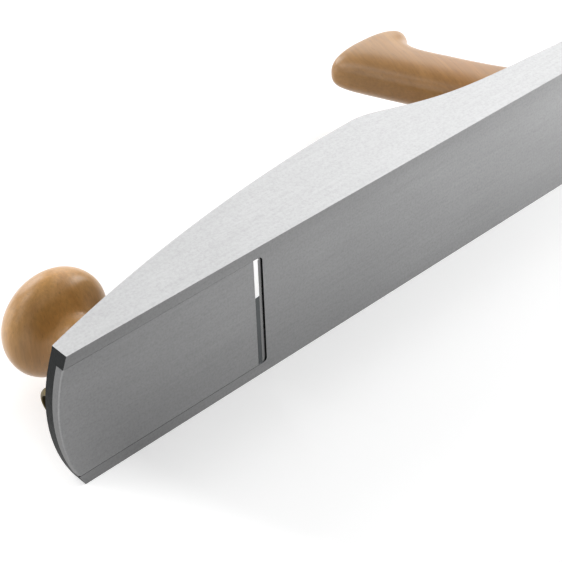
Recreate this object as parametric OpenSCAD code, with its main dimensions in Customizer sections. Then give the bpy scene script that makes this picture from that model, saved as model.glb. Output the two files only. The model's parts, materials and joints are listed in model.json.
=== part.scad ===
// Low angle jack plane, bevel up, lying on its right cheek.
// Every piece is first placed as the plane works on a bench: x runs from toe to heel, y to the right
// and z up from the sole. x = 0 is where the cheeks start behind the curved toe. Then it is laid down.

/* [Body] */
// Overall length over the curved toe and heel
body_l = 381; // [374:1:400]
// Width over the cheeks
body_w = 70; // [69.5:0.5:76]
// Radius of the curved toe and heel, seen from above
end_r = 82.1; // [76:0.1:110]
// Thickness of each cheek
cheek_t = 4.6; // [4:0.1:5]
// Width of each sole rail beside the toe plate
rail_w = 5.8; // [5.2:0.1:6]
// Thickness of the deck over the toe plate
deck_t = 4.7; // [4:0.1:6]
// Length of the deck from the front corners
deck_l = 92; // [84:1:94]
// Thickness of the floor behind the bed
floor_t = 6.5; // [6:0.5:8]
// Height of the cheeks at their highest point
peak_h = 43; // [40:0.5:46]
// Distance of that point from the front corners
peak_x = 196; // [190:1:202]
// Height of the cheeks where they level out
dip_h = 25.5; // [23:0.5:28]
// Distance of that place from the front corners
dip_x = 262; // [256:1:268]
// Height of the cheeks at the heel
heel_h = 16.5; // [13:0.5:20]

/* [Toe plate] */
// Thickness of the toe plate
plate_t = 4.4; // [4:0.1:5.5]
// Distance of its rear edge from the front corners
mouth_x = 97.45; // [96:0.05:99]
// Gap between the toe plate and each rail
plate_gap = 0.1; // [0.05:0.01:0.2]
// Travel that closes the mouth
close_travel = 1.2; // [0.8:0.1:1.3]
// Travel that opens the mouth
open_travel = 4; // [2:0.5:5]

/* [Blade] */
// Width of the blade
blade_w = 57.15; // [54:0.05:58]
// Thickness of the blade
blade_t = 4.76; // [4:0.01:5]
// Length of the blade
blade_l = 162; // [160:1:167]
// How far the blade's rear corners are cut across
blade_corner = 8; // [3:0.5:10]
// Angle of the bed above the sole
bed_angle = 12; // [11:0.5:13]
// Angle of the bevel ground on the blade's upper side
bevel_angle = 25; // [23:1:38]
// Width of the mouth in front of the edge
mouth_gap = 2.33; // [2.2:0.01:3]
// Distance from the edge back to the front of the bed
heel_gap = 2.62; // [2.2:0.01:4]
// Radius of the mouth's round rear corners
mouth_corner = 2; // [1:0.1:2]
// Height of the edge above the sole while the blade is drawn back
edge_z = 0.1; // [0.05:0.01:0.3]
// Least clearance between each side of the blade and the body
blade_side = 0.6; // [0.3:0.1:0.6]

/* [Bed] */
// Length of the solid front of the bed, along the blade
bed_front_l = 50; // [40:1:60]
// Length of the whole bed, along the blade
bed_l = 115; // [110:1:118]
// Width of the channel in the rear of the bed
bed_channel_w = 40; // [30:1:44]
// Thickness of the cross wall that closes the bed
bed_wall_t = 11; // [8:1:14]

/* [Front knob] */
// Distance of the knob's axis from the front corners
knob_x = 31.9; // [31:0.1:36]
// Radius of the mushroom head
knob_r = 25.9; // [24:0.1:28]
// Height of the knob above its washer
knob_h = 47.4; // [45:0.1:54]
// Radius of the knob's foot
knob_foot_r = 16; // [14:0.5:17]
// Radius of the knob's neck
knob_neck_r = 10.7; // [10:0.1:13]
// Radius of the pedestal under the knob
pedestal_r = 16.5; // [15.5:0.5:19]
// Height of the pedestal above the deck
pedestal_h = 14.5; // [14.3:0.1:17]
// Thickness of the washer under the knob
knob_washer_t = 1.2; // [1:0.1:2]
// Radius of the clamp stud
stud_r = 4; // [3.5:0.1:4.5]
// Length of the stud above the pedestal
stud_l = 24; // [20:1:28]
// Radius of the threaded insert in the knob
insert_r = 7; // [6.5:0.1:8]
// Length of the threaded insert
insert_l = 18; // [12:1:20]
// Length of the toe post along the plane
post_l = 12; // [11:0.5:13]
// Width of the toe post
post_w = 12; // [10:0.5:14]
// Depth of the toe post's socket in the toe plate
post_socket = 2; // [1.5:0.1:2.5]

/* [Stop screw] */
// Height of the stop screw above the sole
stop_z = 16.5; // [16.2:0.1:17.5]
// Distance of its head's face in front of the front corners
stop_front = 2; // [1:0.1:3]
// Radius of its head
stop_head_r = 6.8; // [6.5:0.1:7]
// Thickness of its head
stop_head_t = 5.3; // [4.5:0.1:6]
// Radius of its shank
stop_r = 3; // [2.5:0.1:3.2]
// Thickness of its washer
stop_washer_t = 1; // [0.8:0.1:1.2]
// Radius of its washer
stop_washer_r = 6.2; // [5.5:0.1:7]
// Width of the nose on the pedestal that the washer meets
nose_w = 14; // [12:1:16]

/* [Lever cap] */
// Distance of the cap's nose from the blade's edge
cap_front = 24; // [22:1:28]
// Distance of the cap's rear end from the blade's edge
cap_rear = 119; // [117:1:121]
// Width of the cap
cap_w = 50; // [44:1:54]
// Radius of the cap's round rear end
cap_end_r = 13; // [12:0.5:15]
// Distance of the rod from the blade's edge, along the blade
rod_s = 62; // [58:1:66]
// Height of the rod above the blade
rod_n = 11.74; // [11.4:0.01:13]
// Radius of the rod
rod_r = 4; // [3.5:0.1:4.5]
// How deep the rod goes into the left cheek
rod_blind = 2.4; // [2:0.1:3]
// Distance of the wheel from the blade's edge
wheel_s = 104; // [102:1:105]
// Radius of the wheel
wheel_r = 14; // [11:0.5:16]
// Thickness of the wheel
wheel_t = 8; // [6:0.5:10]
// Radius of the wheel's threaded stud
wheel_stud_r = 4; // [3.5:0.1:4.5]
// Radius of the pressure pad
pad_r = 6.5; // [6:0.1:7.5]
// Thickness of the pressure pad
pad_t = 3.7; // [3.2:0.1:4]
// How far the pad draws back when the wheel is loosened
pad_travel = 2; // [1.5:0.1:2]

/* [Depth and lateral adjuster] */
// Distance of the adjuster's pivot from the blade's edge
pivot_s = 153.5; // [152:0.5:155]
// Distance of the carrier pin from the blade's edge
pin_s = 131; // [130:0.5:132]
// Depth of the spindle's axis below the blade
spindle_n = 9.5; // [9:0.1:10.5]
// Radius of the spindle
spindle_r = 3; // [2.5:0.1:3.5]
// Radius of the spindle's collar
collar_r = 5; // [4.5:0.1:6]
// Thickness of the spindle's collar
collar_t = 2; // [1.5:0.1:2.5]
// Radius of the adjuster post's head
post_head_r = 8; // [7.5:0.1:8.5]
// Radius of the adjuster post's shank
post_shank_r = 6; // [5:0.1:6.5]
// Wall of the bush round that shank
bush_wall = 2.5; // [2:0.1:3]
// Wall of the boss round the bush
boss_wall = 3; // [2.5:0.1:4]
// Length of the bush
bush_l = 9; // [8:0.5:9.5]
// Radius of the adjuster knob
adjuster_knob_r = 9; // [8:0.5:9.5]
// Thickness of the adjuster knob
adjuster_knob_t = 13; // [10:0.5:13.5]
// Distance of the adjuster knob from the blade's edge
adjuster_knob_s = 170; // [169.5:0.5:171]
// Length of the carrier along the spindle
carrier_l = 12; // [10:0.5:13]
// Width of the carrier
carrier_w = 14; // [12:0.5:18]
// Radius of the carrier pin
pin_r = 3; // [2.5:0.1:4]

/* [Tote] */
// Height of the tote above the floor
tote_h = 121.5; // [112:0.5:128]
// Thickness of the tote
tote_t = 24.6; // [22:0.1:27]
// Front to back depth of the grip
grip_d = 38; // [35:0.5:41]
// Reach of the foot in front of the rod
foot_front = 43.9; // [42:0.1:44.5]
// Reach of the foot behind the rod
foot_rear = 39.1; // [36:0.1:42]
// Height of the foot
foot_h = 6; // [5:0.5:8]
// Reach of the spur at the top behind the rod
spur = 34; // [30:0.5:38]
// Lean of the tote and its rod towards the toe
tote_lean = 19.3; // [17:0.1:21]
// Distance of the tote from the heel
tote_back = 11.2; // [10.8:0.1:16]
// Radius of the tote rod
tote_rod_r = 3; // [2.5:0.1:4]
// Radius of the tote nut
tote_nut_r = 6; // [5:0.1:7]
// Length of the tote nut
tote_nut_l = 12; // [9:0.5:14]
// Radius of the tote washer
tote_washer_r = 7; // [6.5:0.1:8]
// Thickness of the tote washer
tote_washer_t = 1.2; // [0.8:0.1:2]
// Distance of the front screw behind the foot's front end
front_screw_back = 6.2; // [5.5:0.1:6.5]
// Radius of the front screw's shank
front_screw_r = 2; // [1.5:0.1:2.5]
// Radius of the front screw's head
front_screw_head_r = 3.8; // [3.3:0.1:4]
// Thickness of the front screw's head
front_screw_head_t = 2.2; // [1.5:0.1:2.5]

/* [Fits] */
// Radial clearance of a shaft that turns in its bore
run_fit = 0.05; // [0.03:0.01:0.08]
// Gap between flat faces that slide on each other
slide_gap = 0.05; // [0.04:0.01:0.08]
// Radial clearance of a pin or screw that stays put
set_fit = 0.02; // [0.01:0.01:0.03]
// Clearance round a screw that only passes through
pass_gap = 0.4; // [0.3:0.05:0.5]
// Gap at the end of each travel
end_gap = 0.15; // [0.1:0.01:0.2]

/* [Hidden] */
$fn = 96;

steel = [0.76, 0.77, 0.78];
bright_steel = [0.66, 0.68, 0.7];
dark_steel = [0.35, 0.36, 0.38];
brass = [0.8, 0.65, 0.3];
maple = [0.78, 0.6, 0.4];

// Places worked out from the sizes above
half_w = body_w / 2;
inner_y = max(half_w - cheek_t, blade_w / 2 + blade_side);
slot_y = max(half_w - rail_w, blade_w / 2 + blade_side);
toe_bulge = end_r - sqrt(end_r * end_r - half_w * half_w);
heel_x = body_l - toe_bulge;
deck_z = plate_t + deck_t;
edge_x = mouth_x + mouth_gap;
recess_x = edge_x + heel_gap;
pedestal_z = deck_z + pedestal_h;
washer_top = pedestal_z + knob_washer_t + slide_gap;
stop_head_x = stop_head_t - stop_front;
nose_x = stop_head_x + slide_gap + stop_washer_t + close_travel + end_gap;
rod_h = blade_t + rod_n;
cap_seat = blade_t + slide_gap;
pad_top = cap_seat + pad_t;
cap_under = pad_top + pad_travel + 0.7;
cap_rear_t = 5.8;
cap_top = cap_under + cap_rear_t;
wheel_n = cap_top + 0.6;
wheel_hub_t = 1.6;
spindle_end = adjuster_knob_s + adjuster_knob_t;
post_foot = -(spindle_n + post_head_r - 0.5);
bush_top = post_foot - 0.3;
boss_r = post_shank_r + bush_wall + boss_wall;
rod_foot_x = heel_x - tote_back - foot_rear;
tote_z = floor_t;
tote_top = tote_z + tote_h;
tote_boss_r = 9;
tote_boss_h = 5;
origin_x = body_l / 2 - toe_bulge;
origin_z = tote_top / 2;

// Helpers
function bezier(a, b, c, d, n) =
    [for (i = [0 : n - 1]) let (t = i / n, s = 1 - t)
        s * s * s * a + 3 * s * s * t * b + 3 * s * t * t * c + t * t * t * d];

function curve_at(v, i, t) =
    let (n = len(v) - 1, a = v[max(i - 1, 0)], b = v[i], c = v[min(i + 1, n)], d = v[min(i + 2, n)])
    0.5 * (2 * b + (c - a) * t + (2 * a - 5 * b + 4 * c - d) * t * t
        + (3 * b - 3 * c + d - a) * t * t * t);

function smooth(v, n) = concat(
    [for (i = [0 : len(v) - 2]) for (k = [0 : n - 1]) curve_at(v, i, k / n)], [v[len(v) - 1]]);

// From the working position to lying on the right cheek
module lay_down() {
    translate([-origin_x, -origin_z, half_w]) rotate([-90, 0, 0]) children();
}

// The blade's frame: x back along the blade from its edge, z square to the bed
module on_bed() {
    translate([edge_x, 0, edge_z]) rotate([0, -bed_angle, 0]) children();
}

// A side view of x and z points, extruded from y0 to y1
module side_plate(points, y0, y1) {
    translate([0, y1, 0]) rotate([90, 0, 0]) linear_extrude(y1 - y0) polygon(points);
}

module block(x0, x1, y0, y1, z0, z1) {
    translate([x0, y0, z0]) cube([x1 - x0, y1 - y0, z1 - z0]);
}

module shaft(r, z0, z1) {
    translate([0, 0, z0]) cylinder(r = r, h = z1 - z0);
}

module along_x(r, x0, x1) {
    translate([x0, 0, 0]) rotate([0, 90, 0]) cylinder(r = r, h = x1 - x0);
}

// Along the tote's rod, up from the floor
module on_rod() {
    translate([rod_foot_x, 0, tote_z]) rotate([0, -tote_lean, 0]) children();
}

// Body
function bed_height(x) = edge_z + (x - edge_x) * tan(bed_angle) - slide_gap / cos(bed_angle);
function bed_end(s) = edge_x + s * cos(bed_angle);

// The cheeks start level with the deck, just in front of the place where the toe's curve cuts them off
function cheek_outline() = concat(
    [[-toe_bulge, 0], [-toe_bulge, deck_z]],
    bezier([-1, deck_z], [0.3 * peak_x, deck_z + 0.57 * (peak_h - deck_z)],
        [0.66 * peak_x, peak_h - 2], [peak_x, peak_h], 24),
    bezier([peak_x, peak_h], [peak_x + 18, peak_h + 1.5], [peak_x + 27, dip_h + 5.5],
        [dip_x, dip_h], 20),
    bezier([dip_x, dip_h], [dip_x + 26, dip_h - 3.6], [heel_x - 44, heel_h + 5],
        [heel_x - 6, heel_h], 12),
    [[heel_x - 6, heel_h], [heel_x, heel_h - 2], [heel_x, 0]]);

module body_plan() {
    linear_extrude(2 * peak_h) intersection() {
        translate([-toe_bulge, -half_w]) square([body_l, body_w]);
        union() {
            translate([end_r - toe_bulge, 0]) circle(end_r, $fn = 240);
            translate([end_r - toe_bulge, -half_w]) square([body_l - 2 * end_r, body_w]);
            translate([heel_x - end_r, 0]) circle(end_r, $fn = 240);
        }
    }
}

module cheeks() {
    for (side = [-1, 1])
        side_plate(cheek_outline(), side > 0 ? inner_y : -half_w, side > 0 ? half_w : -inner_y);
}

module deck() {
    block(-toe_bulge, deck_l, -half_w, half_w, 0, deck_z);
    for (side = [-1, 1])
        block(-toe_bulge, recess_x, side > 0 ? slot_y : -half_w, side > 0 ? half_w : -slot_y, 0, deck_z);
    side_plate([[deck_l - 9, deck_z - 1], [deck_l - 7, deck_z + 6], [deck_l - 4, deck_z + 6],
        [deck_l, deck_z - 1]], -inner_y - 1, inner_y + 1);
}

module pedestal() {
    translate([knob_x, 0, 0]) shaft(pedestal_r, deck_z - 1, pedestal_z);
    block(nose_x, knob_x, -nose_w / 2, nose_w / 2, deck_z - 1, pedestal_z);
}

module bed() {
    front_end = bed_end(bed_front_l);
    rear_end = bed_end(bed_l);
    difference() {
        side_plate([[recess_x, 0], [recess_x, bed_height(recess_x)], [rear_end, bed_height(rear_end)],
            [rear_end, 0]], -inner_y - 1, inner_y + 1);
        block(front_end, rear_end - bed_wall_t, -bed_channel_w / 2, bed_channel_w / 2, floor_t, peak_h);
    }
    block(front_end + 1, heel_x, -inner_y - 1, inner_y + 1, 0, floor_t);
    mouth_corners();
}

// The bed carried forward into the mouth's rear corners, which the recess then cuts round
module mouth_corners() {
    front = recess_x - mouth_corner;
    rear = recess_x + 1;
    for (side = [-1, 1])
        side_plate([[front, 0], [front, bed_height(front)], [rear, bed_height(rear)], [rear, 0]],
            side > 0 ? slot_y - mouth_corner : -slot_y - 1, side > 0 ? slot_y + 1 : mouth_corner - slot_y);
}

// The recess of the toe plate, with round corners at its rear wall
module recess() {
    front = recess_x - mouth_corner;
    middle = slot_y - mouth_corner;
    translate([0, 0, -1]) linear_extrude(1 + plate_t + slide_gap) {
        translate([-toe_bulge - 1, -slot_y]) square([front + toe_bulge + 1, 2 * slot_y]);
        translate([0, -middle]) square([recess_x, 2 * middle]);
        for (side = [-1, 1])
            translate([front, side * middle]) circle(mouth_corner);
    }
}

module post_slot() {
    block(knob_x - post_l / 2 - open_travel - end_gap, knob_x + post_l / 2 + close_travel + end_gap,
        -post_w / 2 - plate_gap, post_w / 2 + plate_gap, 0, pedestal_z + 1);
}

module body() {
    color(steel) lay_down() difference() {
        union() {
            intersection() {
                body_plan();
                union() {
                    cheeks();
                    deck();
                    pedestal();
                    bed();
                }
            }
            intersection() {
                on_bed() translate([pivot_s, 0, 0]) shaft(boss_r, bush_top - bush_l - 6, bush_top);
                block(0, heel_x, -half_w, half_w, floor_t / 2, peak_h);
            }
            on_rod() shaft(tote_boss_r, -1, tote_boss_h);
        }
        recess();
        post_slot();
        translate([0, 0, stop_z]) along_x(stop_r + pass_gap, nose_x - 1, knob_x);
        on_bed() translate([pivot_s, 0, 0])
            shaft(post_shank_r + bush_wall + set_fit, bush_top - bush_l, bush_top + 1);
        on_bed() translate([rod_s, -inner_y - rod_blind, rod_h]) rotate([-90, 0, 0])
            cylinder(r = rod_r + set_fit, h = body_w);
        on_rod() shaft(tote_rod_r + set_fit, -floor_t + 2.5, tote_boss_h + 1);
        translate([rod_foot_x - foot_front + front_screw_back, 0, 0])
            shaft(front_screw_r + set_fit, 2, floor_t + 1);
    }
}

// Toe plate and what it carries
module toe_plate() {
    edge_y = slot_y - plate_gap;
    color(steel) lay_down() difference() {
        intersection() {
            body_plan();
            block(-toe_bulge, mouth_x, -edge_y, edge_y, 0, plate_t);
        }
        block(knob_x - post_l / 2, knob_x + post_l / 2, -post_w / 2, post_w / 2,
            plate_t - post_socket, plate_t + 1);
    }
}

module toe_post() {
    color(bright_steel) lay_down() translate([knob_x, 0, 0]) difference() {
        union() {
            block(-post_l / 2, post_l / 2, -post_w / 2, post_w / 2, plate_t - post_socket, pedestal_z - 1);
            shaft(stud_r, pedestal_z - 2, pedestal_z + stud_l);
        }
        translate([0, 0, stop_z]) along_x(stop_r + run_fit, -post_l, post_l);
    }
}

module knob_washer() {
    color(brass) lay_down() translate([knob_x, 0, pedestal_z + slide_gap]) difference() {
        shaft(knob_foot_r - 1, 0, knob_washer_t);
        shaft(stud_r + run_fit, -1, knob_washer_t + 1);
    }
}

function knob_profile() = let (z = washer_top + slide_gap, top = z + knob_h, head_z = z + 0.68 * knob_h)
    concat(
        [[0, z], [knob_foot_r - 1, z], [knob_foot_r, z + 1.2], [knob_foot_r - 0.4, z + 4]],
        bezier([knob_foot_r - 0.6, z + 4.5], [knob_neck_r, z + 7.5], [knob_neck_r - 0.8, z + 11.5],
            [knob_neck_r + 0.4, z + 16.5], 10),
        bezier([knob_neck_r + 0.4, z + 16.5], [knob_neck_r + 2, z + 22.5], [knob_r - 0.3, head_z - 8.5],
            [knob_r, head_z], 12),
        bezier([knob_r, head_z], [knob_r + 0.2, head_z + 9.3], [0.66 * knob_r, top],
            [0, top], 14),
        [[0, top]]);

module knob() {
    color(maple) lay_down() translate([knob_x, 0, 0]) difference() {
        rotate_extrude() polygon(knob_profile());
        shaft(insert_r + set_fit, washer_top - 1, washer_top + slide_gap + insert_l);
        shaft(stud_r + 1, washer_top - 1, pedestal_z + stud_l + 3);
    }
}

module knob_insert() {
    color(brass) lay_down() translate([knob_x, 0, washer_top + slide_gap]) difference() {
        shaft(insert_r, 0, insert_l);
        shaft(stud_r + run_fit, -1, insert_l + 1);
    }
}

module stop_screw() {
    rim = 1.6;
    color(brass) lay_down() translate([0, 0, stop_z]) {
        translate([-stop_front, 0, 0]) rotate([0, 90, 0]) difference() {
            rotate_extrude() polygon(concat([[0, 0], [stop_head_r - rim, 0]],
                bezier([stop_head_r - rim, 0], [stop_head_r - 0.5 * rim, 0],
                    [stop_head_r, 0.5 * rim], [stop_head_r, rim], 6),
                [[stop_head_r, rim], [stop_head_r, stop_head_t], [0, stop_head_t]]));
            block(-0.6, 0.6, -stop_head_r, stop_head_r, -1, 1.6);
        }
        along_x(stop_r, stop_head_x - 0.5, knob_x + post_l / 2 - 1);
    }
}

module stop_washer() {
    color(steel) lay_down() translate([stop_head_x + slide_gap, 0, stop_z]) difference() {
        along_x(stop_washer_r, 0, stop_washer_t);
        along_x(stop_r + run_fit, -1, stop_washer_t + 1);
    }
}

// Blade and lever cap
module blade() {
    bevel_l = blade_t / tan(bevel_angle);
    color(bright_steel) lay_down() on_bed() difference() {
        side_plate([[0, 0], [bevel_l, blade_t], [blade_l, blade_t], [blade_l, 0]],
            -blade_w / 2, blade_w / 2);
        translate([pin_s, 0, 0]) shaft(pin_r + run_fit, -1, blade_t + 1);
        for (side = [-1, 1])
            translate([blade_l, side * blade_w / 2, -1]) rotate([0, 0, 45])
                cube([blade_corner * sqrt(2), blade_corner * sqrt(2), 3 * blade_t], center = true);
    }
}

function cap_side() = let (lip = rod_h - rod_r - run_fit, hook = rod_h + rod_r + run_fit + 3.7)
    [[cap_front, cap_seat], [cap_front + 3.5, cap_seat], [cap_front + 10, cap_seat + 2.2],
        [rod_s - 2, lip - 3.6], [wheel_s - 12, cap_under], [cap_rear, cap_under], [cap_rear, cap_top - 2],
        [cap_rear - 2, cap_top], [wheel_s - 10, cap_top], [rod_s + 18, cap_top + 2],
        [rod_s + 12, hook - 3], [rod_s + 7.5, hook], [rod_s - 3, hook], [rod_s - 5, hook - 2],
        [rod_s - 5, lip], [cap_front + 18, lip - 0.8], [cap_front + 6, cap_seat + 4.6],
        [cap_front + 0.6, cap_seat + 1.4]];

module cap_plan() {
    flank = bezier([rod_s + 12, cap_w / 2], [rod_s + 26, cap_w / 2],
        [cap_rear - cap_end_r - 18, cap_end_r + 1], [cap_rear - cap_end_r, cap_end_r], 10);
    round_end = [for (a = [90 : -7.5 : 0]) [cap_rear - cap_end_r + cap_end_r * cos(a), cap_end_r * sin(a)]];
    near = concat([[cap_front - 1, cap_w / 2 - 3], [cap_front + 2, cap_w / 2]], flank, round_end);
    far = [for (i = [len(near) - 2 : -1 : 0]) [near[i][0], -near[i][1]]];
    polygon(concat(near, far));
}

module lever_cap() {
    color(bright_steel) lay_down() on_bed() difference() {
        intersection() {
            side_plate(cap_side(), -cap_w / 2, cap_w / 2);
            linear_extrude(2 * peak_h) cap_plan();
        }
        translate([rod_s, -cap_w, rod_h]) rotate([-90, 0, 0]) cylinder(r = rod_r + run_fit, h = 2 * cap_w);
        block(rod_s - 12, rod_s, -cap_w, cap_w, rod_h - rod_r - run_fit, rod_h + rod_r + run_fit);
        translate([wheel_s, 0, 0]) shaft(wheel_stud_r + run_fit, 0, peak_h);
    }
}

module lever_cap_rod() {
    color(dark_steel) lay_down() on_bed() translate([rod_s, -inner_y - rod_blind, rod_h])
        rotate([-90, 0, 0]) cylinder(r = rod_r, h = inner_y + half_w + rod_blind);
}

module cap_wheel() {
    bevel = 0.8;
    color(brass) lay_down() on_bed() translate([wheel_s, 0, wheel_n]) difference() {
        rotate_extrude() polygon([[0, 0], [wheel_r - 5, 0], [wheel_r - 5, wheel_hub_t],
            [wheel_r - bevel, wheel_hub_t], [wheel_r, wheel_hub_t + bevel],
            [wheel_r, wheel_hub_t + wheel_t - bevel], [wheel_r - bevel, wheel_hub_t + wheel_t],
            [wheel_r - 4, wheel_hub_t + wheel_t], [wheel_r - 6, wheel_hub_t + wheel_t - 1.2],
            [0, wheel_hub_t + wheel_t - 1.2]]);
        shaft(wheel_stud_r + set_fit, -1, wheel_t + wheel_hub_t + 1);
    }
}

module cap_stud() {
    neck_r = wheel_stud_r - 1.5;
    color(dark_steel) lay_down() on_bed() translate([wheel_s, 0, 0]) {
        shaft(wheel_stud_r, pad_top + slide_gap, wheel_n + wheel_hub_t + wheel_t - 1.2);
        shaft(neck_r, cap_seat + 1.2, pad_top + 1);
    }
}

module pressure_pad() {
    neck_r = wheel_stud_r - 1.5;
    color(dark_steel) lay_down() on_bed() translate([wheel_s, 0, cap_seat]) difference() {
        rotate_extrude() polygon([[0, 0], [pad_r - 0.6, 0], [pad_r, 0.6], [pad_r, pad_t - 0.6],
            [pad_r - 0.6, pad_t], [0, pad_t]]);
        shaft(neck_r + run_fit, 1, pad_t + 1);
    }
}

// Adjuster
module adjuster_post() {
    color(dark_steel) lay_down() on_bed() translate([pivot_s, 0, 0]) difference() {
        union() {
            shaft(post_shank_r, bush_top - bush_l + 0.4, post_foot + 1);
            shaft(post_head_r, post_foot, -2.5);
        }
        translate([0, 0, -spindle_n]) along_x(spindle_r + run_fit, -2 * post_head_r, 2 * post_head_r);
    }
}

module pivot_bush() {
    color(brass) lay_down() on_bed() translate([pivot_s, 0, 0]) difference() {
        shaft(post_shank_r + bush_wall, bush_top - bush_l, bush_top);
        shaft(post_shank_r + run_fit, bush_top - bush_l - 1, bush_top + 1);
    }
}

module adjuster_spindle() {
    collar_x = pivot_s - post_head_r - end_gap;
    color(steel) lay_down() on_bed() translate([0, 0, -spindle_n]) {
        along_x(spindle_r, pin_s - carrier_l / 2 - 5, spindle_end - 3);
        along_x(collar_r, collar_x - collar_t, collar_x);
    }
}

module adjuster_knob() {
    bevel = 0.8;
    hub_x = pivot_s + post_head_r + end_gap;
    hub_l = adjuster_knob_s - hub_x;
    color(brass) lay_down() on_bed() translate([hub_x, 0, -spindle_n]) rotate([0, 90, 0]) difference() {
        rotate_extrude() polygon([[0, 0], [collar_r, 0], [collar_r, hub_l], [adjuster_knob_r - bevel, hub_l],
            [adjuster_knob_r, hub_l + bevel], [adjuster_knob_r, hub_l + adjuster_knob_t - bevel],
            [adjuster_knob_r - bevel, hub_l + adjuster_knob_t], [0, hub_l + adjuster_knob_t]]);
        shaft(spindle_r + set_fit, -1, hub_l + adjuster_knob_t - 3);
        shaft(spindle_r - 1 + set_fit, hub_l, hub_l + adjuster_knob_t + 1);
    }
}

module adjuster_knob_screw() {
    head_t = 1.4;
    color(dark_steel) lay_down() on_bed() translate([spindle_end, 0, -spindle_n]) difference() {
        union() {
            along_x(spindle_r - 1, -3 + set_fit, 0.5);
            along_x(spindle_r + 0.6, 0, head_t);
        }
        block(head_t - 0.8, head_t + 1, -0.4, 0.4, -spindle_r - 1, spindle_r + 1);
    }
}

module carrier() {
    color(dark_steel) lay_down() on_bed() translate([pin_s, 0, 0]) difference() {
        block(-carrier_l / 2, carrier_l / 2, -carrier_w / 2, carrier_w / 2, -spindle_n - 6, -2.5);
        translate([0, 0, -spindle_n]) along_x(spindle_r + run_fit, -carrier_l, carrier_l);
        shaft(pin_r + set_fit, -spindle_n + spindle_r + 1, 1);
    }
}

module carrier_pin() {
    color(bright_steel) lay_down() on_bed() translate([pin_s, 0, 0])
        shaft(pin_r, -spindle_n + spindle_r + 1, blade_t - 0.6);
}

// Tote
function rod_shift(h) = -h * tan(tote_lean);

// Each row: share of the height, reach in front of the rod, reach behind it, share of the
// thickness, and how square the section is
function tote_rows() = let (g = grip_d / 2) [
    [0, foot_front, foot_rear, 0.96, 5],
    [foot_h / tote_h, foot_front - 2, foot_rear + 1.4, 0.98, 5],
    [(foot_h + 2) / tote_h, foot_front - 4.6, foot_rear + 0.8, 0.98, 4.6],
    [(foot_h + 4) / tote_h, foot_front - 11, foot_rear - 1, 0.98, 4],
    [(foot_h + 7) / tote_h, g + 8.4, foot_rear - 4.5, 0.98, 3.4],
    [0.15, g + 4.4, foot_rear - 9.7, 0.98, 3],
    [0.25, g + 0.4, g + 4.6, 0.98, 2.7],
    [0.41, g - 0.3, g + 0.1, 0.98, 2.5],
    [0.605, g + 0.8, g - 1.2, 1, 2.4],
    [0.757, g + 1.5, g - 1, 1, 2.4],
    [0.848, g + 1.9, g + 3.6, 1, 2.5],
    [0.905, g + 2, spur - 3.4, 0.98, 2.6],
    [0.947, g + 0.7, spur, 0.94, 2.6],
    [0.979, g - 3.2, spur - 4.3, 0.8, 2.6],
    [1, g - 10.6, spur - 13.4, 0.5, 2.6]];

function section_point(angle, a, b, p) =
    [a * sign(cos(angle)) * pow(abs(cos(angle)), 2 / p), b * sign(sin(angle)) * pow(abs(sin(angle)), 2 / p)];

module tote_solid() {
    sides = 36;
    rows = smooth(tote_rows(), 3);
    points = [for (r = rows) for (k = [0 : sides - 1])
        let (h = r[0] * tote_h, angle = k * 360 / sides,
            q = section_point(angle, (r[1] + r[2]) / 2, r[3] * tote_t / 2, r[4]))
        [rod_foot_x + rod_shift(h) + (r[2] - r[1]) / 2 + q[0], q[1], tote_z + h]];
    n = len(rows);
    walls = [for (i = [0 : n - 2]) for (k = [0 : sides - 1])
        let (a = i * sides + k, b = i * sides + (k + 1) % sides)
        each [[a, a + sides, b], [b, a + sides, b + sides]]];
    bottom = [for (k = [1 : sides - 2]) [0, k, k + 1]];
    top = [for (k = [1 : sides - 2]) [(n - 1) * sides, (n - 1) * sides + k + 1, (n - 1) * sides + k]];
    polyhedron(points, concat(walls, bottom, top));
}

// Where the nut's seat lies along the rod
nut_seat = (tote_h - tote_nut_l - 3) / cos(tote_lean);

module tote() {
    screw_x = rod_foot_x - foot_front + front_screw_back;
    color(maple) lay_down() difference() {
        tote_solid();
        on_rod() shaft(tote_rod_r + pass_gap, -5, 2 * tote_h);
        on_rod() shaft(tote_boss_r + pass_gap, -5, tote_boss_h + pass_gap);
        on_rod() shaft(tote_washer_r + set_fit, nut_seat, 2 * tote_h);
        translate([screw_x, 0, tote_z]) shaft(front_screw_r + pass_gap, -1, 2 * foot_h);
        translate([screw_x, 0, tote_z]) shaft(front_screw_head_r + pass_gap, foot_h - 1, 3 * foot_h);
    }
}

module tote_rod() {
    color(bright_steel) lay_down() on_rod()
        shaft(tote_rod_r, -floor_t + 2.5, nut_seat + tote_washer_t + tote_nut_l - 3);
}

module tote_washer() {
    color(steel) lay_down() on_rod() difference() {
        shaft(tote_washer_r, nut_seat, nut_seat + tote_washer_t);
        shaft(tote_rod_r + pass_gap, 0, tote_h * 2);
    }
}

module tote_nut() {
    slot = 1.4;
    color(brass) lay_down() on_rod() translate([0, 0, nut_seat + tote_washer_t]) difference() {
        rotate_extrude() polygon(concat([[0, 0], [tote_nut_r, 0]],
            bezier([tote_nut_r, tote_nut_l - 2.5], [tote_nut_r, tote_nut_l - 0.8],
                [0.6 * tote_nut_r, tote_nut_l], [0, tote_nut_l], 8), [[0, tote_nut_l]]));
        shaft(tote_rod_r + set_fit, -1, tote_nut_l - 3);
        block(-slot / 2, slot / 2, -tote_nut_r - 1, tote_nut_r + 1, tote_nut_l - 2, tote_nut_l + 1);
    }
}

module tote_front_screw() {
    head_z = tote_z + foot_h - 1;
    color(brass) lay_down() translate([rod_foot_x - foot_front + front_screw_back, 0, 0]) difference() {
        union() {
            shaft(front_screw_r, 2, head_z + 1);
            shaft(front_screw_head_r, head_z, head_z + front_screw_head_t);
        }
        block(-0.5, 0.5, -5, 5, head_z + front_screw_head_t - 1, head_z + front_screw_head_t + 1);
    }
}

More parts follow.
